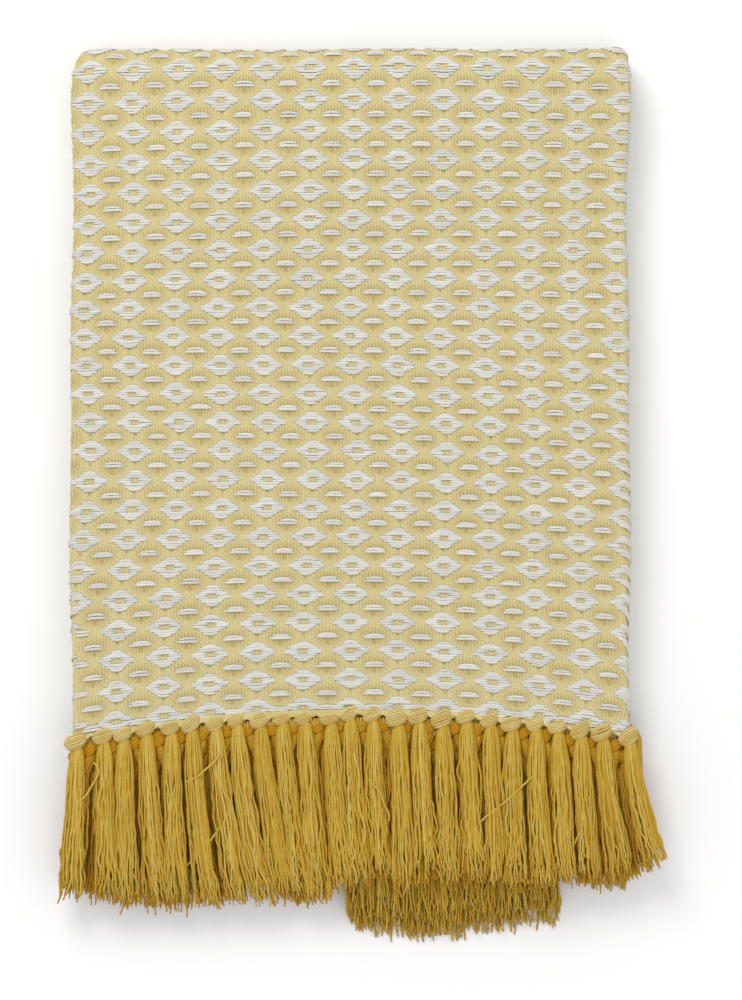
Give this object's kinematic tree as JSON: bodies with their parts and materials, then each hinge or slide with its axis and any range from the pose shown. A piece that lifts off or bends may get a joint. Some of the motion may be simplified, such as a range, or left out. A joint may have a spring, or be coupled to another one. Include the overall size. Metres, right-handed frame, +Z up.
{
  "type": "folded throw blanket",
  "caption": "Cotton throw with a woven diamond pattern and a knotted fringe, folded into a flat stack with all the fringe at one end.",
  "frame": {"origin": "middle of the footprint, on the surface the throw lies on", "axes": "+X across the folded throw, +Y away from the fringe towards the round top fold, +Z up"},
  "size_m": [0.3388, 0.5046, 0.0316],
  "materials": {
    "woven_cotton": "pale yellow warp with off-white weft floats in small diamonds",
    "fringe_cotton": "mustard yellow cotton yarn, knotted and cut"
  },
  "bodies": {
    "root": {"top_panel": "woven_cotton", "outer_top_fold": "woven_cotton", "bottom_panel": "woven_cotton", "lower_fold": "woven_cotton", "third_panel": "woven_cotton", "inner_top_fold": "woven_cotton", "second_panel": "woven_cotton", "knots_row_1": "fringe_cotton", "front_tassel_01": "fringe_cotton", "front_tassel_02": "fringe_cotton", "front_tassel_03": "fringe_cotton", "front_tassel_04": "fringe_cotton", "front_tassel_05": "fringe_cotton", "front_tassel_06": "fringe_cotton", "front_tassel_07": "fringe_cotton", "front_tassel_08": "fringe_cotton", "front_tassel_09": "fringe_cotton", "front_tassel_10": "fringe_cotton", "front_tassel_11": "fringe_cotton", "front_tassel_12": "fringe_cotton", "front_tassel_13": "fringe_cotton", "front_tassel_14": "fringe_cotton", "front_tassel_15": "fringe_cotton", "front_tassel_16": "fringe_cotton", "front_tassel_17": "fringe_cotton", "front_tassel_18": "fringe_cotton", "front_tassel_19": "fringe_cotton", "front_tassel_20": "fringe_cotton", "front_tassel_21": "fringe_cotton", "front_tassel_22": "fringe_cotton", "front_tassel_23": "fringe_cotton", "front_tassel_24": "fringe_cotton", "front_tassel_25": "fringe_cotton", "knots_row_2": "fringe_cotton", "tassels_row_2": "fringe_cotton", "knots_row_3": "fringe_cotton", "tassels_row_3": "fringe_cotton", "knots_row_4": "fringe_cotton", "tassels_row_4": "fringe_cotton", "knots_row_5": "fringe_cotton", "tassels_row_5": "fringe_cotton", "knots_row_6": "fringe_cotton", "tassels_row_6": "fringe_cotton", "knots_row_7": "fringe_cotton", "tassels_row_7": "fringe_cotton", "knots_row_8": "fringe_cotton", "tassels_row_8": "fringe_cotton"}
  },
  "joints": []
}
